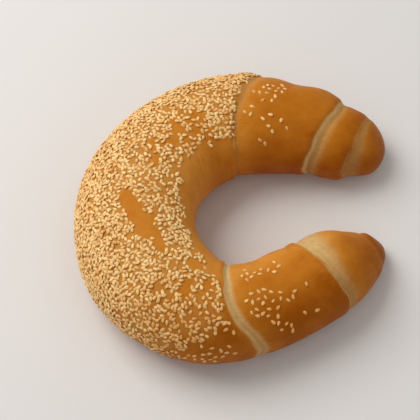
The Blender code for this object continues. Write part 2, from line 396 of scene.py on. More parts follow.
class Dough:
    """The roll's surface and the masks of its crust, as functions of the place and the angle."""

    def __init__(self):
        self.spine = Spine(STATIONS)
        self.length = self.spine.length
        knots = [(0.0, 0.0, 0.0)]
        knots += [(edge.top, edge.inner - edge.top, edge.outer - edge.top) for edge in BACK_EDGES]
        knots += [(SQUARE_FROM, 0.0, 0.0), (self.length - SQUARE_FROM, 0.0, 0.0)]
        for edge in reversed(FRONT_EDGES):
            knots.append((self.length - edge.top, edge.top - edge.inner, edge.top - edge.outer))
        knots.append((self.length, 0.0, 0.0))
        self.knot_places, self.inner_leads, self.outer_leads = np.array(knots).T

    def edges(self, place, angle):
        """Each edge with the distance past it towards its tip. It wavers a little, as torn dough does."""
        arms = ((place, BACK_EDGES), (self.length - place, FRONT_EDGES))
        for arm, (from_tip, edges) in enumerate(arms):
            for number, edge in enumerate(edges):
                phase = 2.0 * arm + 1.3 * number
                slow = SLOW_WAVER * np.sin(5.0 * angle + phase)
                quick = QUICK_WAVER * np.sin(11.0 * angle + 2.0 * phase)
                yield edge, edge.top - from_tip + (slow + quick)

    def along(self, place, angle):
        """Length along the spine of a ring that crosses the top line at place, slanted like the edges."""
        inner = np.interp(place, self.knot_places, self.inner_leads)
        outer = np.interp(place, self.knot_places, self.outer_leads)
        side = np.cos(angle)
        lead = (inner - outer) / 2.0 * side + (inner + outer) / 2.0 * side**2
        return np.clip(place + lead, 0.0, self.length)

    def shows(self, angle):
        """1 where the edges show, and 0 under the roll."""
        return smooth_step((np.sin(angle) + EDGES_FADE_AT) / EDGES_FADE_OVER)

    def dip(self, place, angle):
        """Depth of the surface below the plain section, at the edges of the layers."""
        depth = np.zeros(place.shape)
        for edge, past in self.edges(place, angle):
            away = np.maximum(np.abs(past) - edge.floor, 0.0)
            rounded_lip = np.exp(-((away / edge.lip) ** LIP_POWER))
            slow_rise = np.exp(-away / between(edge.valley, angle))
            deepest = between(edge.depth, angle)
            depth += deepest * np.where(past < 0.0, rounded_lip, slow_rise)
            depth -= BULGE_SHARE * deepest * hump(past, BULGE_AT, BULGE_WIDTH)
        for height, flap in self.mounds(FLAPS, place, angle):
            depth -= height * flap
        depth *= self.shows(angle)
        for height, swell in self.mounds(SWELLS, place, angle):
            depth -= height * swell
        return depth

    def mounds(self, rows, place, angle):
        """Each row's height, and where it lies: 1 at its middle and a soft fall round it."""
        degrees = np.degrees(angle)
        for middle, middle_angle, half_length, half_angle, height in rows:
            round_by = (degrees - middle_angle + 180.0) % 360.0 - 180.0
            away = np.hypot((place - middle) / half_length, round_by / half_angle)
            yield height, np.exp(-(away**2))

    def taper(self, along):
        """Share of the full section that is left where the tips round off."""
        back = np.clip(along / BACK_TIP, 0.0, 1.0)
        front = np.clip((self.length - along) / FRONT_TIP, 0.0, 1.0)
        return np.sqrt(1.0 - (1.0 - back) ** 2) * np.sqrt(1.0 - (1.0 - front) ** 2)

    def point(self, place, angle):
        """Position of each surface point, in metres."""
        along = self.along(place, angle)
        centre, inward, width = self.spine.at(along)
        height = width * HEIGHT_SHARE
        share = self.taper(along)
        across, upward = np.cos(angle), np.sin(angle)
        power = np.where(upward >= 0.0, UPPER_POWER, LOWER_POWER)
        radius = (np.abs(across) ** power + np.abs(upward) ** power) ** (-1.0 / power)
        lower_half = WIDEST_SHARE * height + FLATTENED
        half_height = np.where(upward >= 0.0, (1.0 - WIDEST_SHARE) * height, lower_half)
        sideways = radius * across * share * width / 2.0
        up = radius * upward * share * half_height
        reach = np.hypot(sideways, up) + 1e-9
        kept = 1.0 - share * np.clip(self.dip(place, angle) / reach, LEAST_DIP, MOST_DIP)
        position = np.empty(place.shape + (3,))
        position[..., :2] = centre + inward * (sideways * kept)[..., None]
        position[..., 2] = np.maximum(up * kept + WIDEST_SHARE * height, 0.0)
        return position * MM

    def pale(self, place, angle):
        """How little baked the dough is: 1 in the bands that the edges uncovered late in the oven. The
        light line on each lip is partly pale dough and partly painted light.
        """
        mask = np.zeros(place.shape)
        for edge, past in self.edges(place, angle):
            band = between(edge.band, angle)
            rise = smooth_step((past - edge.start + 0.5) / 1.0)
            fall = 1.0 - smooth_step((past - 0.25 * band) / (1.15 * band))
            # The light line on each lip: partly pale dough, partly painted light that brightens the lip.
            line = hump(past, edge.rim_at, edge.rim_width)
            mask = np.maximum(mask, between(edge.pale, angle) * rise * fall)
            mask = np.maximum(mask, between(edge.rim, angle) * line)
        for _, flap in self.mounds(FLAPS, place, angle):
            mask = np.maximum(mask, 0.8 * flap)
        return mask * self.shows(angle)

    def core(self, place, angle):
        """The dull core of each fold, where flour and shade keep the dough grey."""
        mask = np.zeros(place.shape)
        for edge, past in self.edges(place, angle):
            away = (past - edge.fold_at) / edge.fold_width
            mask = np.maximum(mask, between(edge.core, angle) * np.exp(-np.abs(away) ** 3))
        return mask * self.shows(angle)

    def stretch(self, place, angle):
        """How much the skin is stretched and wrinkled, next to the edges."""
        mask = np.zeros(place.shape)
        for edge, past in self.edges(place, angle):
            mask = np.maximum(mask, hump(past, 0.0, 2.0 + between(edge.band, angle)))
        return mask * self.shows(angle)

    def bake(self, place, angle):
        """How brown the crust is, from 0, light gold, to 1, deep brown; it also holds painted light and
        shade.
        """
        upward = np.sin(angle)
        inward = np.cos(angle)
        from_front = self.length - place
        back_arm = 1.0 - smooth_step((place - 45.0) / 40.0)
        front_arm = 1.0 - smooth_step((from_front - 76.0) / 14.0)
        belly = (1.0 - back_arm) * (1.0 - front_arm)
        brown = 0.42 + 0.14 * back_arm + 0.10 * front_arm
        # Both tips stick out into the heat, and the front one ends in a dark nub.
        brown += 0.34 * np.exp(-place / 26.0) + 0.30 * hump(from_front, 0.0, 12.0)
        brown += 0.40 * smooth_step((7.6 - from_front) / 1.0)
        # The belly is light on its inner side, partly as painted light, and brown on its outer side towards
        # the front arm, partly as painted shade on that side, which faces away from the key light.
        brown -= 0.26 * belly * smooth_step((inward - 0.15) / 0.6)
        brown += 0.40 * belly * smooth_step((place - 186.0) / 26.0) * smooth_step((0.05 - inward) / 0.7)
        # The back arm is brown on its inner side, which faces away from the key light, most of all where it
        # meets the belly: partly browning, partly painted shade. It is also brown near its tip.
        brown += 0.22 * back_arm * smooth_step((inward - 0.35) / 0.6)
        brown += 0.34 * hump(place, 93.0, 17.0) * smooth_step((inward - 0.05) / 0.6)
        brown += 0.10 * hump(place, 22.0, 9.0)
        # The front arm is golden on its inner side, which faces the key light, and brown on its outer side,
        # which faces away, but for its tip: partly browning, partly painted light and shade.
        golden = 0.38 + 0.14 * smooth_step((from_front - 50.0) / 26.0)
        brown -= golden * front_arm * smooth_step((inward - 0.15) / 0.6)
        brown += 0.08 * hump(from_front, 18.0, 9.0)
        before_tip = smooth_step((from_front - 22.0) / 26.0)
        brown += (0.06 + 0.34 * before_tip) * front_arm * smooth_step((0.1 - inward) / 0.7)
        # The hot tray browns the lower half.
        brown += 0.12 * smooth_step((-upward - 0.1) / 0.5)
        # Each layer is brown just before its edge, and lighter beyond the band that the edge uncovered.
        shows = self.shows(angle)
        for edge, past in self.edges(place, angle):
            brown += 0.10 * hump(past, -5.5, 3.5) * shows
            beyond = past - between(edge.band, angle)
            brown -= 0.30 * between(edge.pale, angle) * hump(beyond, 0.0, 4.5) * shows
        return np.clip(brown, 0.0, 1.0)

    def sole(self, place, angle):
        """1 where the roll stood on the baking tray."""
        return smooth_step((-np.sin(angle) - 0.62) / 0.22)

    def seeded(self, place, angle):
        """Share of the belly that holds seeds, with soft edges and bare patches."""
        degrees = round_in_degrees(angle)
        start = BACK_EDGES[-1].top + 0.4
        end = self.length - FRONT_EDGES[-1].top - 2.2
        share = smooth_step((place - start) / 1.2) * smooth_step((end - place) / 1.8)
        share *= smooth_step((degrees - line_at(SEED_INNER_EDGE, place)) / INNER_SOFTNESS + 0.4)
        share *= 1.0 - smooth_step((degrees - line_at(SEED_OUTER_EDGE, place)) / OUTER_SOFTNESS)
        for middle, middle_angle, half_length, half_angle in BARE_PATCHES:
            away = np.hypot((place - middle) / half_length, (degrees - middle_angle) / half_angle)
            share *= smooth_step((away - 0.8) / 0.35)
        return share

    def sesame(self, place, angle):
        """How closely the seeds lie on the belly: 1 in the full coat."""
        degrees = round_in_degrees(angle)
        full = smooth_step((degrees - line_at(FULL_COAT_EDGE, place) + 4.0) / FULL_COAT_SOFTNESS)
        thin = line_at(THIN_COAT, place)
        return self.seeded(place, angle) * (thin + (1.0 - thin) * full)

    def topping(self, place, angle):
        """How closely the seeds of the second layer lie."""
        degrees = round_in_degrees(angle)
        above = smooth_step((degrees - line_at(TOPPING_EDGE, place)) / TOPPING_SOFTNESS)
        return self.seeded(place, angle) * above

    def fibre(self, place, angle):
        """Where the crust of the belly's inner side is drawn into fine strands."""
        inner = smooth_step((np.cos(angle) + 0.05) / 0.6) * smooth_step((np.sin(angle) + 0.6) / 0.6)
        return inner * smooth_step((place - 84.0) / 16.0) * smooth_step((self.length - 80.0 - place) / 30.0)

    def stray(self, place, angle):
        """How closely the single seeds lie, beyond the belly's coat."""
        degrees = round_in_degrees(angle)
        share = np.zeros(place.shape)
        for middle, middle_angle, half_length, half_angle, load in SPARSE_PATCHES:
            away = np.hypot((place - middle) / half_length, (degrees - middle_angle) / half_angle)
            share = np.maximum(share, load * (1.0 - smooth_step((away - 0.75) / 0.5)))
        return share * (1.0 - smooth_step(self.seeded(place, angle) / 0.5))

    def unrolled(self, place, angle):
        """Position on the roll as if it were straightened into a rod, in metres."""
        return np.stack([place, ROD_RADIUS * np.cos(angle), ROD_RADIUS * np.sin(angle)], axis=-1) * MM


# ---------------------------------------------------------------------------------------------
# Node helpers, for shader trees and geometry trees
# ---------------------------------------------------------------------------------------------

# A colour Mix node's sockets go by number, because it has others of the same names.
MIX_SHARE, MIX_FIRST, MIX_SECOND, MIX_RESULT = 0, 6, 7, 2
# The kind of a tree's input, by the type of its default.
SOCKET_KINDS = {
    float: "NodeSocketFloat",
    int: "NodeSocketInt",
    str: "NodeSocketString",
    type(None): "NodeSocketMaterial",
}


def feed(tree, socket, source):
    """Links a socket to an output, or sets its value."""
    if isinstance(source, bpy.types.NodeSocket):
        tree.links.new(source, socket)
    else:
        socket.default_value = source


def feed_all(tree, node, inputs):
    """Feeds a node's inputs, which go by name or number."""
    for key, source in inputs.items():
        feed(tree, node.inputs[key], source)


def new_node(tree, kind, inputs=None, **settings):
    """Adds a node, sets its properties and feeds its inputs."""
    node = tree.nodes.new(kind)
    for name, value in settings.items():
        setattr(node, name, value)
    feed_all(tree, node, inputs or {})
    return node


def maths(tree, operation, first, second, clamp=False):
    """A Math node's output."""
    values = {0: first, 1: second}
    return new_node(tree, "ShaderNodeMath", values, operation=operation, use_clamp=clamp).outputs[0]


def plus(tree, first, *others):
    """The first value with the others added to it in turn."""
    for other in others:
        first = maths(tree, "ADD", first, other)
    return first


def times(tree, first, *others):
    """The first value multiplied by the others in turn."""
    for other in others:
        first = maths(tree, "MULTIPLY", first, other)
    return first


def swing(tree, wave, amount):
    """A noise turned into a swing about zero."""
    return times(tree, maths(tree, "SUBTRACT", wave, 0.5), amount)


def scaled(tree, vector, factor):
    """A vector or a colour, made larger or smaller."""
    values = {0: vector, "Scale": factor}
    return new_node(tree, "ShaderNodeVectorMath", values, operation="SCALE").outputs[0]


def spread(tree, value, low, high, to_low=0.0, to_high=1.0):
    """A Map Range node's output, smooth and clamped."""
    ends = {"Value": value, "From Min": low, "From Max": high, "To Min": to_low, "To Max": to_high}
    return new_node(tree, "ShaderNodeMapRange", ends, interpolation_type="SMOOTHSTEP").outputs["Result"]


def noise(tree, scale, detail, roughness, vector):
    """A Noise Texture node's value."""
    look = {"Vector": vector, "Scale": scale, "Detail": detail, "Roughness": roughness}
    return new_node(tree, "ShaderNodeTexNoise", look).outputs[0]


def mix_colour(tree, share, first, second):
    """A Mix node's colour, which goes from the first to the second by the share."""
    colours = {MIX_SHARE: share, MIX_FIRST: first, MIX_SECOND: second}
    return new_node(tree, "ShaderNodeMix", colours, data_type="RGBA").outputs[MIX_RESULT]


def attribute(tree, name, output="Fac"):
    """A stored value of the surface, as a shader output."""
    return new_node(tree, "ShaderNodeAttribute", attribute_name=name).outputs[output]


def streaks(tree, lengthwise, crosswise, detail, roughness):
    """Noise on the unrolled surface, with one scale along the roll and another around it."""
    surface = attribute(tree, "unrolled", "Vector")
    scales = (lengthwise, crosswise, crosswise)
    stretched = new_node(tree, "ShaderNodeVectorMath", {0: surface, 1: scales}, operation="MULTIPLY")
    return noise(tree, 1.0, detail, roughness, stretched.outputs[0])


def ramp(tree, value, stops):
    """A Color Ramp node's colour, through stops of a position and a colour."""
    node = new_node(tree, "ShaderNodeValToRGB", {0: value})
    elements = node.color_ramp.elements
    while len(elements) < len(stops):
        elements.new(1.0)
    for element, (position, colour) in zip(elements, stops):
        element.position = position
        element.color = (*colour, 1.0)
    return node.outputs[0]


def add_socket(tree, name, direction, kind, default=None):
    """One named socket of a node group."""
    socket = tree.interface.new_socket(name=name, in_out=direction, socket_type=kind)
    if default is not None:
        socket.default_value = default


def geometry_tree(name, inputs):
    """An empty Geometry Nodes tree with a geometry input, these inputs and a geometry output."""
    tree = bpy.data.node_groups.new(name, "GeometryNodeTree")
    add_socket(tree, "Geometry", "INPUT", "NodeSocketGeometry")
    for label, default in inputs.items():
        add_socket(tree, label, "INPUT", SOCKET_KINDS[type(default)], default)
    add_socket(tree, "Geometry", "OUTPUT", "NodeSocketGeometry")
    return tree


def run_tree(target, tree, values):
    """Runs a tree on an object with these inputs, and returns the result as a plain mesh."""
    modifier = target.modifiers.new(tree.name, "NODES")
    modifier.node_group = tree
    for item in tree.interface.items_tree:
        if item.item_type == "SOCKET" and item.in_out == "INPUT" and item.name in values:
            modifier[item.identifier] = values[item.name]
    depsgraph = bpy.context.evaluated_depsgraph_get()
    mesh = bpy.data.meshes.new_from_object(target.evaluated_get(depsgraph))
    target.modifiers.remove(modifier)
    return mesh


# ---------------------------------------------------------------------------------------------
# Materials
# ---------------------------------------------------------------------------------------------


def grain_group():
    """Fine mottling and pores, shared by the crust and the seeds."""
    name = "Baked grain"
    if name in bpy.data.node_groups:
        return bpy.data.node_groups[name]
    tree = bpy.data.node_groups.new(name, "ShaderNodeTree")
    add_socket(tree, "Colour", "INPUT", "NodeSocketColor")
    add_socket(tree, "Mottle Scale", "INPUT", "NodeSocketFloat", 300.0)
    add_socket(tree, "Mottle", "INPUT", "NodeSocketFloat", 0.1)
    add_socket(tree, "Pore Scale", "INPUT", "NodeSocketFloat", 1500.0)
    add_socket(tree, "Colour", "OUTPUT", "NodeSocketColor")
    add_socket(tree, "Height", "OUTPUT", "NodeSocketFloat")
    given = new_node(tree, "NodeGroupInput").outputs
    where = new_node(tree, "ShaderNodeTexCoord").outputs["Object"]
    mottle = noise(tree, scale=given["Mottle Scale"], detail=3.0, roughness=0.6, vector=where)
    pores = noise(tree, scale=given["Pore Scale"], detail=2.0, roughness=0.55, vector=where)
    bright = plus(tree, 1.0, times(tree, swing(tree, mottle, given["Mottle"]), 2.0))
    results = {
        "Colour": scaled(tree, given["Colour"], bright),
        "Height": plus(tree, pores, times(tree, mottle, 0.6)),
    }
    new_node(tree, "NodeGroupOutput", results)
    return tree


def grain(tree, colour, mottle_scale, mottle, pore_scale):
    """Places the shared grain in a material, and gives its colour and height."""
    values = {"Colour": colour, "Mottle Scale": mottle_scale, "Mottle": mottle, "Pore Scale": pore_scale}
    node = new_node(tree, "ShaderNodeGroup", values, node_tree=grain_group())
    return node.outputs["Colour"], node.outputs["Height"]


def bump(tree, height, distance):
    """A Bump node's normal."""
    relief = {"Strength": 1.0, "Height": height, "Distance": distance}
    return new_node(tree, "ShaderNodeBump", relief).outputs["Normal"]


def blank_material(name):
    """A new material with its node tree and its Principled BSDF."""
    material = bpy.data.materials.new(name)
    material.use_nodes = True
    return material, material.node_tree, material.node_tree.nodes["Principled BSDF"]


def crust_material(dough):
    """Egg-washed crust: gold to deep brown by how much it baked, pale and torn where the layers parted."""
    material, tree, shader = blank_material("baked_crust")
    where = new_node(tree, "ShaderNodeTexCoord").outputs["Object"]
    drift = noise(tree, scale=30.0, detail=3.0, roughness=0.5, vector=where)
    patchy = noise(tree, scale=120.0, detail=3.0, roughness=0.6, vector=where)
    ragged = noise(tree, scale=430.0, detail=4.0, roughness=0.65, vector=where)
    flaky = streaks(tree, lengthwise=170.0, crosswise=760.0, detail=3.0, roughness=0.6)
    wrinkled = streaks(tree, lengthwise=240.0, crosswise=1500.0, detail=2.0, roughness=0.5)
    strands = streaks(tree, lengthwise=1000.0, crosswise=230.0, detail=3.0, roughness=0.6)
    stretch = attribute(tree, "stretch")
    fibre = attribute(tree, "fibre")
    sole = attribute(tree, "sole")
    pale = attribute(tree, "pale")

    # Browning drifts over the whole roll, follows the strands and the wrinkles, and scorches the sole.
    scorched = plus(tree, 0.20, plus(tree, swing(tree, patchy, 0.9), swing(tree, ragged, 0.7)))
    browning = plus(
        tree,
        attribute(tree, "bake"),
        swing(tree, drift, 0.7),
        swing(tree, patchy, 0.34),
        times(tree, swing(tree, strands, 0.6), fibre),
        times(tree, scorched, sole),
    )
    wrinkles = times(tree, swing(tree, flaky, 0.5), stretch)
    browning = maths(tree, "ADD", browning, wrinkles, clamp=True)
    stops = ((0.0, dough.light_crust), (0.5, dough.gold_crust), (1.0, dough.brown_crust))
    surface = ramp(tree, browning, stops)

    # The bands between the layers are pale and torn, with dull flour in them and along each fold; the
    # fold's dull core is partly painted shade. The pale mask also holds the lips' light lines, partly
    # painted light.
    torn = plus(tree, pale, swing(tree, ragged, 0.34), swing(tree, flaky, 0.22))
    pale_share = times(tree, spread(tree, torn, 0.05, 0.9), spread(tree, pale, 0.0, 0.14))
    surface = mix_colour(tree, pale_share, surface, (*dough.pale_dough, 1.0))
    floury = times(tree, pale_share, spread(tree, ragged, 0.42, 0.70, 0.0, 0.40))
    fold = times(tree, attribute(tree, "core"), spread(tree, ragged, 0.34, 0.56, 0.35, 1.0))
    surface = mix_colour(tree, maths(tree, "MAXIMUM", floury, fold), surface, (*dough.fold_flour_and_shade, 1.0))
    # Between the seeds of the full coat the crust is lighter: painted light that lifts the shade among the
    # seeds.
    seed_gap_light = spread(tree, attribute(tree, "sesame"), 0.5, 1.0, 0.0, 0.55)
    surface = mix_colour(tree, seed_gap_light, surface, (*dough.seed_gap_lit_crust, 1.0))
    colour, height = grain(tree, surface, mottle_scale=320.0, mottle=0.10, pore_scale=1500.0)

    # Torn dough and the sole are matt and pitted, and the stretched skin lies in fine folds.
    matt = maths(tree, "MAXIMUM", pale_share, sole)
    roughness = plus(tree, dough.crust_roughness, times(tree, matt, 0.25), swing(tree, patchy, 0.2))
    pits = times(tree, matt, 3.0, ragged)
    folds = times(tree, stretch, 2.2, wrinkled)
    relief = plus(tree, height, plus(tree, pits, folds), times(tree, fibre, 1.6, strands))
    looks = {
        "Base Color": colour,
        "Roughness": roughness,
        "Normal": bump(tree, relief, distance=0.00012),
        "IOR": 1.45,
        "Specular IOR Level": 0.08,
    }
    feed_all(tree, shader, looks)
    return material


def sesame_material(sesame):
    """Toasted sesame: each seed has its own tint, from ivory to gold."""
    material, tree, shader = blank_material("toasted_sesame")
    toast = attribute(tree, "toast")
    tint = mix_colour(tree, toast, (*sesame.light_seed, 1.0), (*sesame.toasted_seed, 1.0))
    # The rim darkening is partly the seed's own darker edge and partly painted contact shade.
    rim = times(tree, attribute(tree, "rim"), 0.42)
    tint = mix_colour(tree, rim, tint, (*sesame.seed_rim_and_shade, 1.0))
    colour, height = grain(tree, tint, mottle_scale=900.0, mottle=0.12, pore_scale=3000.0)
    looks = {
        "Base Color": colour,
        "Roughness": 0.45,
        "Normal": bump(tree, height, distance=0.00004),
        "IOR": 1.47,
        "Specular IOR Level": 0.35,
    }
    feed_all(tree, shader, looks)
    return material


def floor_material(stage):
    """Matt pale floor."""
    material, tree, shader = blank_material("pale_floor")
    feed_all(tree, shader, {"Base Color": (*stage.floor_colour, 1.0), "Roughness": 0.8})
    return material


# ---------------------------------------------------------------------------------------------
# Pieces
# ---------------------------------------------------------------------------------------------


def ring_places(length):
    """Evenly spaced rings, closer together where the tips round off."""
    even = np.linspace(0.0, length, round(length / RINGS_APART) + 1)
    for tip, at_front in ((BACK_TIP, False), (FRONT_TIP, True)):
        from_tip = length - even if at_front else even
        rounded = tip * (1.0 - np.cos(from_tip / tip * math.pi / 2.0))
        even = np.where(from_tip < tip, length - rounded if at_front else rounded, even)
    return even


def ring_faces(rings):
    """Quads from ring to ring and a fan of triangles at each tip, which all face outward.

    They come in a shuffled order, so that the seeds are thinned out evenly and not in rows.
    """
    here = np.arange(RING_POINTS)
    beside = (here + 1) % RING_POINTS
    starts = 1 + np.arange(rings - 1)[:, None] * RING_POINTS
    corners = (starts + here, starts + beside, starts + RING_POINTS + beside, starts + RING_POINTS + here)
    quads = np.stack(corners, -1)
    final = 1 + (rings - 1) * RING_POINTS
    far_tip = final + RING_POINTS
    back_fan = np.stack([np.zeros_like(here), 1 + beside, 1 + here], -1)
    front_fan = np.stack([np.full_like(here, far_tip), final + here, final + beside], -1)
    faces = back_fan.tolist() + quads.reshape(-1, 4).tolist() + front_fan.tolist()
    return [faces[number] for number in np.random.default_rng(FACE_SHUFFLE).permutation(len(faces))]


def fine_dough(dough):
    """Rings of points from tip to tip, closed at both, with the crust's masks."""
    places = ring_places(dough.length)
    rings = len(places) - 2
    turn = (np.arange(RING_POINTS) + 1 - RING_POINTS // 2) * math.tau / RING_POINTS
    place = np.concatenate([places[:1], np.repeat(places[1:-1], RING_POINTS), places[-1:]])
    angle = np.concatenate([[0.0], np.tile(turn, rings), [0.0]])
    mesh = bpy.data.meshes.new("dough")
    mesh.from_pydata(dough.point(place, angle).tolist(), [], ring_faces(rings))
    for name in MASKS:
        values = getattr(dough, name)(place, angle).astype(np.float32)
        mesh.attributes.new(name, "FLOAT", "POINT").data.foreach_set("value", values)
    unrolled = mesh.attributes.new("unrolled", "FLOAT_VECTOR", "POINT")
    unrolled.data.foreach_set("vector", dough.unrolled(place, angle).astype(np.float32).ravel())
    mesh.update()
    return mesh


def position(tree):
    """The place of each point, in a geometry tree."""
    return new_node(tree, "GeometryNodeInputPosition").outputs[0]


def stored(tree, name):
    """A stored value of the surface, in a geometry tree."""
    node = new_node(tree, "GeometryNodeInputNamedAttribute", {"Name": name}, data_type="FLOAT")
    return node.outputs["Attribute"]


def store(tree, geometry, name, value, domain):
    """Stores a value on the geometry under a name."""
    inputs = {"Geometry": geometry, "Name": name, "Value": value}
    node = new_node(tree, "GeometryNodeStoreNamedAttribute", inputs, data_type="FLOAT", domain=domain)
    return node.outputs["Geometry"]


def random_value(tree, low, high, draw):
    """A Random Value node's output, with the number of its own draw."""
    node = new_node(tree, "FunctionNodeRandomValue", data_type="FLOAT")
    sockets = [socket for socket in node.inputs if socket.enabled]
    feed(tree, sockets[0], low)
    feed(tree, sockets[1], high)
    feed(tree, sockets[-1], draw)
    return next(socket for socket in node.outputs if socket.enabled)


def dress(tree, geometry, material):
    """Ends a tree: real mesh, shaded smooth, in its material."""
    real = new_node(tree, "GeometryNodeRealizeInstances", {"Geometry": geometry}).outputs[0]
    smooth = new_node(tree, "GeometryNodeSetShadeSmooth", {"Geometry": real}).outputs[0]
    painted = new_node(tree, "GeometryNodeSetMaterial", {"Geometry": smooth, "Material": material})
    new_node(tree, "NodeGroupOutput", {"Geometry": painted.outputs[0]})


def relief_tree():
    """Geometry Nodes: soft dents and fine ripples along the normal, level where the roll stands."""
    sizes = {
        "Dent Size": DENT_SIZE,
        "Dent Depth": 0.0009,
        "Ripple Size": RIPPLE_SIZE,
        "Ripple Depth": 0.00018,
        "Crust": None,
    }
    tree = geometry_tree("Crust relief", sizes)
    given = new_node(tree, "NodeGroupInput").outputs
    where = position(tree)
    waves = []
    for label in ("Dent", "Ripple"):
        scale = maths(tree, "DIVIDE", 1.0, given[f"{label} Size"])
        wave = noise(tree, scale=scale, detail=1.0, roughness=0.5, vector=where)
        waves.append(swing(tree, wave, given[f"{label} Depth"]))
    height = new_node(tree, "ShaderNodeSeparateXYZ", {0: where}).outputs["Z"]
    push = times(tree, plus(tree, *waves), spread(tree, height, LEVEL_BELOW, WAVY_ABOVE))
    outward = new_node(tree, "GeometryNodeInputNormal").outputs[0]
    moved = {"Geometry": given["Geometry"], "Offset": scaled(tree, outward, push)}
    dress(tree, new_node(tree, "GeometryNodeSetPosition", moved).outputs["Geometry"], given["Crust"])
    return tree


def seed_shape(tree, given):
    """One seed in a geometry tree: a sphere stretched to a flat drop, with its rim and its point marked for
    darkening, which on the low rim is partly painted contact shade.
    """
    ball = new_node(tree, "GeometryNodeMeshUVSphere", {"Segments": 8, "Rings": 5, "Radius": 0.5})
    split = new_node(tree, "ShaderNodeSeparateXYZ", {0: position(tree)}).outputs
    narrowing = spread(tree, split["Z"], -0.40, 0.60, 1.05, 0.60)
    sizes = {
        "X": times(tree, split["Z"], given["Seed Length"]),
        "Y": times(tree, split["Y"], narrowing, given["Seed Width"]),
        "Z": times(tree, split["X"], narrowing, given["Seed Thickness"]),
    }
    drop = new_node(tree, "ShaderNodeCombineXYZ", sizes).outputs[0]
    # The low rim, where the seed meets the crust, is darkened: partly the seed's own edge, partly painted
    # contact shade.
    low = spread(tree, split["X"], -0.02, 0.30, 1.0, 0.0)
    point = spread(tree, split["Z"], 0.18, 0.50, 0.0, 0.8)
    marked = store(tree, ball.outputs["Mesh"], "rim", maths(tree, "MAXIMUM", low, point), "POINT")
    moved = {"Geometry": marked, "Position": drop}
    return new_node(tree, "GeometryNodeSetPosition", moved).outputs["Geometry"]


def sesame_tree():
    """Geometry Nodes: seeds scattered over the crust by one of its masks, each lying its own way."""
    sizes = {
        "Mask": "sesame",
        "Fullness": 0.9,
        "Spacing": 0.0018,
        "Seed Length": 0.0031,
        "Seed Width": 0.0019,
        "Seed Thickness": 0.0011,
        "Clump Size": 0.008,
        "Clumping": 0.9,
        "Tilt": 0.3,
        "Lowest": -0.0001,
        "Highest": 0.0004,
        "Toasting": 0.0,
        "Random Seed": 3,
        "Seed Material": None,
    }
    tree = geometry_tree("Sesame scatter", sizes)
    given = new_node(tree, "NodeGroupInput").outputs
    lump_scale = maths(tree, "DIVIDE", 1.0, given["Clump Size"])
    lumps = noise(tree, scale=lump_scale, detail=2.0, roughness=0.6, vector=position(tree))
    mask = stored(tree, given["Mask"])
    load = spread(tree, plus(tree, mask, swing(tree, lumps, given["Clumping"])), 0.2, 0.95)
    load = times(tree, load, spread(tree, mask, 0.0, 0.3, 0.0, given["Fullness"]))
    spots = {
        "Mesh": given["Geometry"],
        "Distance Min": given["Spacing"],
        "Density Max": MOST_SEEDS,
        "Density Factor": load,
        "Seed": given["Random Seed"],
    }
    scatter = new_node(tree, "GeometryNodeDistributePointsOnFaces", spots, distribute_method="POISSON")
    scatter = scatter.outputs

    tilt_back = times(tree, given["Tilt"], -1.0)
    leans = {
        "X": random_value(tree, tilt_back, given["Tilt"], NOD_DRAW),
        "Y": random_value(tree, tilt_back, given["Tilt"], ROLL_DRAW),
        "Z": random_value(tree, 0.0, math.tau, HEADING_DRAW),
    }
    angles = new_node(tree, "ShaderNodeCombineXYZ", leans).outputs[0]
    turn = new_node(tree, "FunctionNodeEulerToRotation", {0: angles})
    both = {0: scatter["Rotation"], 1: turn.outputs[0]}
    lay = new_node(tree, "FunctionNodeRotateRotation", both, rotation_space="LOCAL")
    lift = scaled(tree, scatter["Normal"], random_value(tree, given["Lowest"], given["Highest"], LIFT_DRAW))
    raised = new_node(tree, "GeometryNodeSetPosition", {"Geometry": scatter["Points"], "Offset": lift})
    seeds = {
        "Points": raised.outputs["Geometry"],
        "Instance": seed_shape(tree, given),
        "Rotation": lay.outputs[0],
        "Scale": random_value(tree, 0.86, 1.12, SIZE_DRAW),
    }
    laid = new_node(tree, "GeometryNodeInstanceOnPoints", seeds).outputs["Instances"]
    # Seeds toast with the crust's bake mask, so they also carry its painted light and shade.
    toast = plus(tree, stored(tree, "bake"), random_value(tree, -0.50, 0.16, TOAST_DRAW), given["Toasting"])
    toast = maths(tree, "MULTIPLY", toast, 1.4, clamp=True)
    dress(tree, store(tree, laid, "toast", toast, "INSTANCE"), given["Seed Material"])
    return tree


def show(name, mesh):
    """Puts a mesh in the scene as an object at the origin."""
    piece = bpy.data.objects.new(name, mesh)
    bpy.context.scene.collection.objects.link(piece)
    return piece


# ---------------------------------------------------------------------------------------------
# Settings, operators and panel
# ---------------------------------------------------------------------------------------------


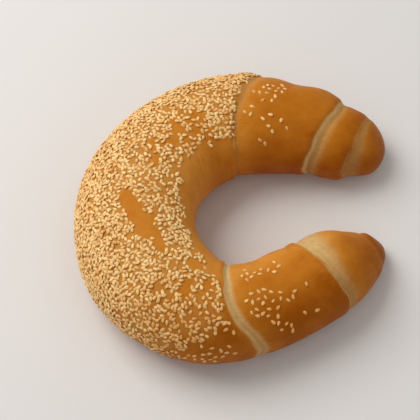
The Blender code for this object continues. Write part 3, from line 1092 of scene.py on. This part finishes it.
class CrescentDoughSettings(bpy.types.PropertyGroup):
    """Relief and colours of the baked dough."""

    dent_depth: bpy.props.FloatProperty(
        name="Dent Depth", description="Height of the soft unevenness",
        default=0.0009, unit="LENGTH", precision=5,
    )
    ripple_depth: bpy.props.FloatProperty(
        name="Ripple Depth", description="Height of the fine ripples",
        default=0.00018, unit="LENGTH", precision=5,
    )
    light_crust: bpy.props.FloatVectorProperty(
        name="Light Crust", description="Crust where it baked least",
        default=(0.73, 0.30, 0.046), size=3, subtype="COLOR",
    )
    gold_crust: bpy.props.FloatVectorProperty(
        name="Gold Crust", description="Crust where it baked to gold",
        default=(0.55, 0.182, 0.012), size=3, subtype="COLOR",
    )
    brown_crust: bpy.props.FloatVectorProperty(
        name="Brown Crust", description="Crust where it baked most",
        default=(0.36, 0.088, 0.0005), size=3, subtype="COLOR",
    )
    pale_dough: bpy.props.FloatVectorProperty(
        name="Pale Dough", description="Dough that the layers uncovered",
        default=(0.72, 0.49, 0.21), size=3, subtype="COLOR",
    )
    fold_flour_and_shade: bpy.props.FloatVectorProperty(
        name="Dull Fold", description="Core of the folds",
        default=(0.37, 0.196, 0.046), size=3, subtype="COLOR",
    )
    seed_gap_lit_crust: bpy.props.FloatVectorProperty(
        name="Seeded Crust", description="Crust between the seeds",
        default=(0.58, 0.285, 0.066), size=3, subtype="COLOR",
    )
    crust_roughness: bpy.props.FloatProperty(
        name="Crust Roughness", description="Roughness of the crust",
        default=0.48, min=0.0, max=1.0, subtype="FACTOR",
    )


class CrescentSesameSettings(bpy.types.PropertyGroup):
    """Size, spread and colours of the sesame."""

    spacing: bpy.props.FloatProperty(
        name="Spacing", description="Least distance between two seeds",
        default=0.00143, unit="LENGTH", precision=5,
    )
    length: bpy.props.FloatProperty(
        name="Length", description="Length of a seed", default=0.00268, unit="LENGTH", precision=5
    )
    width: bpy.props.FloatProperty(
        name="Width", description="Width of a seed", default=0.0019, unit="LENGTH", precision=5
    )
    thickness: bpy.props.FloatProperty(
        name="Thickness", description="Thickness of a seed", default=0.00095, unit="LENGTH", precision=5
    )
    fullness: bpy.props.FloatProperty(
        name="Fullness", description="Share of the places that hold a seed",
        default=0.9, subtype="FACTOR",
    )
    topping_spacing: bpy.props.FloatProperty(
        name="Topping Spacing", description="Least distance in the second layer",
        default=0.0017, unit="LENGTH", precision=5,
    )
    topping_fullness: bpy.props.FloatProperty(
        name="Topping Fullness", description="Share of the second layer", default=0.9, subtype="FACTOR"
    )
    stray_spacing: bpy.props.FloatProperty(
        name="Stray Spacing", description="Least distance between two single seeds",
        default=0.0027, unit="LENGTH", precision=5,
    )
    stray_fullness: bpy.props.FloatProperty(
        name="Stray Fullness", description="Share of the single seeds", default=0.9, subtype="FACTOR"
    )
    clump_size: bpy.props.FloatProperty(
        name="Clump Size", description="Size of the clumps and gaps",
        default=0.008, unit="LENGTH", precision=4,
    )
    clumping: bpy.props.FloatProperty(
        name="Clumping", description="How much the seeds clump", default=0.7, subtype="FACTOR"
    )
    tilt: bpy.props.FloatProperty(
        name="Tilt", description="How far a seed leans", default=0.28, subtype="ANGLE"
    )
    random_seed: bpy.props.IntProperty(name="Random Seed", description="Changes the scatter", default=3)
    light_seed: bpy.props.FloatVectorProperty(
        name="Light Seed", description="Palest seeds",
        default=(0.98, 0.67, 0.285), size=3, subtype="COLOR",
    )
    toasted_seed: bpy.props.FloatVectorProperty(
        name="Toasted Seed", description="Most toasted seeds",
        default=(0.78, 0.39, 0.105), size=3, subtype="COLOR",
    )
    seed_rim_and_shade: bpy.props.FloatVectorProperty(
        name="Seed Rim", description="Rim and point of a seed",
        default=(0.54, 0.24, 0.055), size=3, subtype="COLOR",
    )


class CrescentStageSettings(bpy.types.PropertyGroup):
    """Floor, light and camera."""

    floor_colour: bpy.props.FloatVectorProperty(
        name="Floor Colour", description="Colour of the floor",
        default=(0.78, 0.76, 0.74), size=3, subtype="COLOR",
    )
    sky_strength: bpy.props.FloatProperty(
        name="Sky", description="Strength of the even light", default=0.43
    )
    key_power: bpy.props.FloatProperty(name="Key", description="Main light", default=7.5, unit="POWER")
    fill_power: bpy.props.FloatProperty(name="Fill", description="Fill light", default=0.3, unit="POWER")
    elevation: bpy.props.FloatProperty(
        name="Elevation", description="Camera angle above the floor",
        default=math.radians(64.0), subtype="ANGLE",
    )
    distance: bpy.props.FloatProperty(
        name="Distance", description="Camera distance from the roll", default=0.65, unit="LENGTH"
    )
    lens: bpy.props.FloatProperty(name="Lens", description="Focal length in millimetres", default=114.8)


class CRESCENT_OT_dough(bpy.types.Operator):
    """Makes the fine dough with its crust, which stands for the plain solid."""

    bl_idname = "crescent.dough"
    bl_label = "Make Dough"

    def execute(self, context):
        settings = context.scene.crescent_dough
        draft = show("dough_draft", fine_dough(Dough()))
        values = {
            "Dent Size": DENT_SIZE,
            "Dent Depth": settings.dent_depth,
            "Ripple Size": RIPPLE_SIZE,
            "Ripple Depth": settings.ripple_depth,
            "Crust": crust_material(settings),
        }
        mesh = run_tree(draft, relief_tree(), values)
        bpy.data.objects.remove(draft)
        piece = show("dough", mesh)
        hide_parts("crescent_roll")
        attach(piece, "root")
        return {"FINISHED"}


class CRESCENT_OT_sesame(bpy.types.Operator):
    """Scatters the sesame seeds over the dough."""

    bl_idname = "crescent.sesame"
    bl_label = "Scatter Sesame"

    def execute(self, context):
        settings = context.scene.crescent_sesame
        tree = sesame_tree()
        bed = {
            "Mask": "sesame",
            "Fullness": settings.fullness,
            "Spacing": settings.spacing,
            "Seed Length": settings.length,
            "Seed Width": settings.width,
            "Seed Thickness": settings.thickness,
            "Clump Size": settings.clump_size,
            "Clumping": settings.clumping,
            "Tilt": settings.tilt,
            "Lowest": SUNK,
            "Highest": HIGH_IN_BED,
            "Toasting": 0.0,
            "Random Seed": settings.random_seed,
            "Seed Material": sesame_material(settings),
        }
        topping = {
            "Mask": "topping",
            "Fullness": settings.topping_fullness,
            "Spacing": settings.topping_spacing,
            "Tilt": settings.tilt * TOPPING_TILT,
            "Lowest": LOW_IN_TOPPING,
            "Highest": HIGH_IN_TOPPING,
            "Random Seed": settings.random_seed + TOPPING_SEED,
        }
        strays = {
            "Mask": "stray",
            "Fullness": settings.stray_fullness,
            "Spacing": settings.stray_spacing,
            "Clumping": STRAY_CLUMPING,
            "Highest": HIGH_AMONG_STRAYS,
            "Toasting": STRAY_TOASTING,
            "Random Seed": settings.random_seed + STRAY_SEED,
        }
        for name, own in (("sesame_bed", {}), ("sesame_topping", topping), ("sesame_strays", strays)):
            piece = show(name, run_tree(bpy.data.objects["dough"], tree, {**bed, **own}))
            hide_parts("crescent_roll")
            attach(piece, "root")
        return {"FINISHED"}


def aim(thing, target):
    """Turns a light or camera towards a point."""
    thing.rotation_mode = "QUATERNION"
    thing.rotation_quaternion = (target - thing.location).to_track_quat("-Z", "Y")


def area_light(name, look, power, target):
    """A soft square light that faces the roll."""
    data = bpy.data.lights.new(name, "AREA")
    place, data.size, data.color = look
    data.energy = power
    light = bpy.data.objects.new(name, data)
    bpy.context.scene.collection.objects.link(light)
    light.location = place
    aim(light, target)


class CRESCENT_OT_stage(bpy.types.Operator):
    """Makes the pale floor, the soft studio light and the camera."""

    bl_idname = "crescent.stage"
    bl_label = "Set Stage"

    def execute(self, context):
        settings = context.scene.crescent_stage
        maker = bmesh.new()
        bmesh.ops.create_grid(maker, x_segments=1, y_segments=1, size=FLOOR_REACH)
        mesh = bpy.data.meshes.new("floor")
        maker.to_mesh(mesh)
        maker.free()
        mesh.materials.append(floor_material(settings))
        show("floor", mesh)
        world = bpy.data.worlds.new("soft sky")
        world.use_nodes = True
        sky = world.node_tree.nodes["Background"]
        sky.inputs["Color"].default_value = SKY_COLOUR
        sky.inputs["Strength"].default_value = settings.sky_strength
        context.scene.world = world
        low, high = CAD_BOX
        middle = (low + high) / 2.0
        area_light("key", KEY_LOOK, settings.key_power, middle)
        area_light("fill", FILL_LOOK, settings.fill_power, middle)
        camera = bpy.data.objects.new("camera", bpy.data.cameras.new("camera"))
        context.scene.collection.objects.link(camera)
        camera.data.sensor_width = SENSOR_WIDTH
        camera.data.lens = settings.lens
        camera.data.clip_start = NEAREST_SEEN
        back = Vector((0.0, -math.cos(settings.elevation), math.sin(settings.elevation)))
        target = Vector(CAMERA_TARGET)
        camera.location = target + back * settings.distance
        aim(camera, target)
        context.scene.camera = camera
        context.scene.view_settings.view_transform = "Standard"
        return {"FINISHED"}


class CRESCENT_PT_panel(bpy.types.Panel):
    """Lists the pieces and their settings."""

    bl_idname = "CRESCENT_PT_panel"
    bl_label = "Crescent Roll"
    bl_space_type = "VIEW_3D"
    bl_region_type = "UI"
    bl_category = "Crescent Roll"

    def draw(self, context):
        for operator, settings in (
            (CRESCENT_OT_dough, context.scene.crescent_dough),
            (CRESCENT_OT_sesame, context.scene.crescent_sesame),
            (CRESCENT_OT_stage, context.scene.crescent_stage),
        ):
            box = self.layout.box()
            box.operator(operator.bl_idname)
            for name in settings.__annotations__:
                box.prop(settings, name)


CLASSES = (
    CrescentDoughSettings,
    CrescentSesameSettings,
    CrescentStageSettings,
    CRESCENT_OT_dough,
    CRESCENT_OT_sesame,
    CRESCENT_OT_stage,
    CRESCENT_PT_panel,
)
SETTINGS = {
    "crescent_dough": CrescentDoughSettings,
    "crescent_sesame": CrescentSesameSettings,
    "crescent_stage": CrescentStageSettings,
}


def register():
    for cls in CLASSES:
        bpy.utils.register_class(cls)
    for name, group in SETTINGS.items():
        setattr(bpy.types.Scene, name, bpy.props.PointerProperty(type=group))


def unregister():
    for name in SETTINGS:
        delattr(bpy.types.Scene, name)
    for cls in reversed(CLASSES):
        bpy.utils.unregister_class(cls)


def main():
    register()
    bpy.ops.crescent.dough()
    bpy.ops.crescent.sesame()
    bpy.ops.crescent.stage()


if __name__ == "__main__":
    main()
